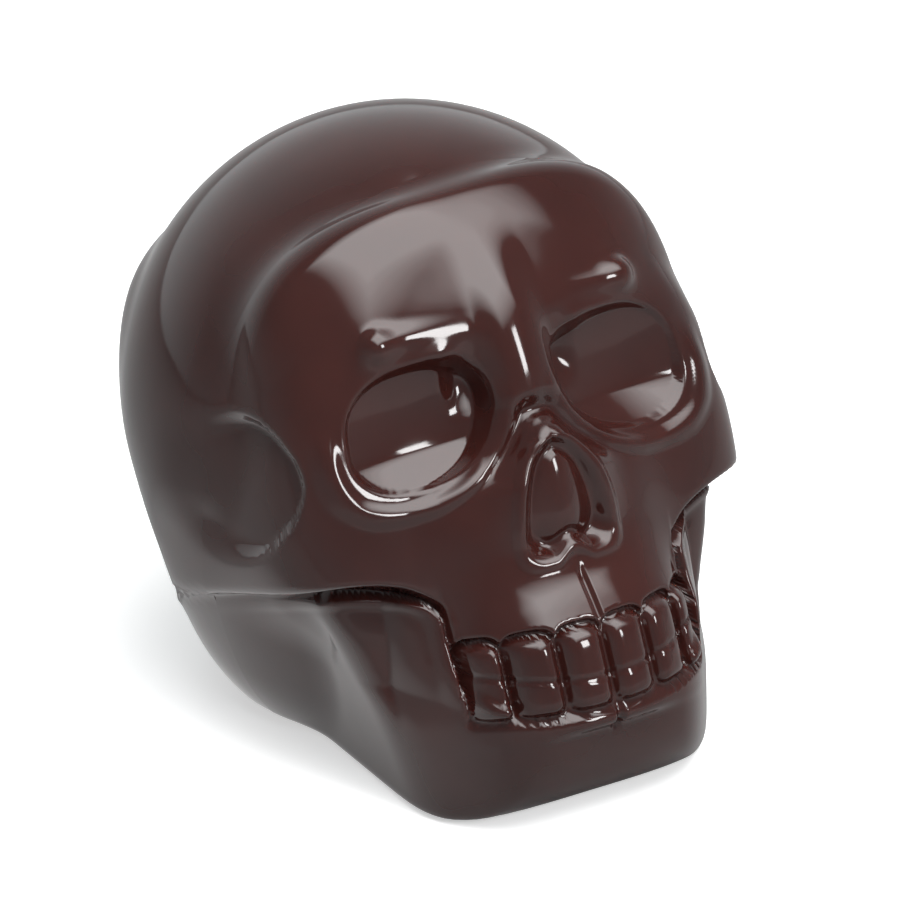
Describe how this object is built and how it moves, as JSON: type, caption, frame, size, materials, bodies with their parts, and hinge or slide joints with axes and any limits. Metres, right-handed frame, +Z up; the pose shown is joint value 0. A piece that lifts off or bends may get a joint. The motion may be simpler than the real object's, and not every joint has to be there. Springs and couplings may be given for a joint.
{
  "type": "moulded chocolate skull",
  "caption": "Hollow moulded chocolate skull: a face half and a back half joined at an upright seam by an inner bead, standing on the flat underside of its jaw.",
  "frame": {"origin": "middle of the bounding box at table height: the flat underside of the jaw and of the back rests on the XY plane", "axes": "-Y toward the viewer of the face, +Z up as it stands, mirror symmetric about X = 0"},
  "size_m": [0.0814, 0.1004, 0.0839],
  "materials": {
    "chocolate": "glossy tempered dark chocolate as it leaves a polished mould",
    "chocolate_bead": "dark chocolate piped and set inside the seam"
  },
  "bodies": {
    "root": {"front_shell": "chocolate", "back_shell": "chocolate", "seam_bead": "chocolate_bead"}
  },
  "joints": []
}
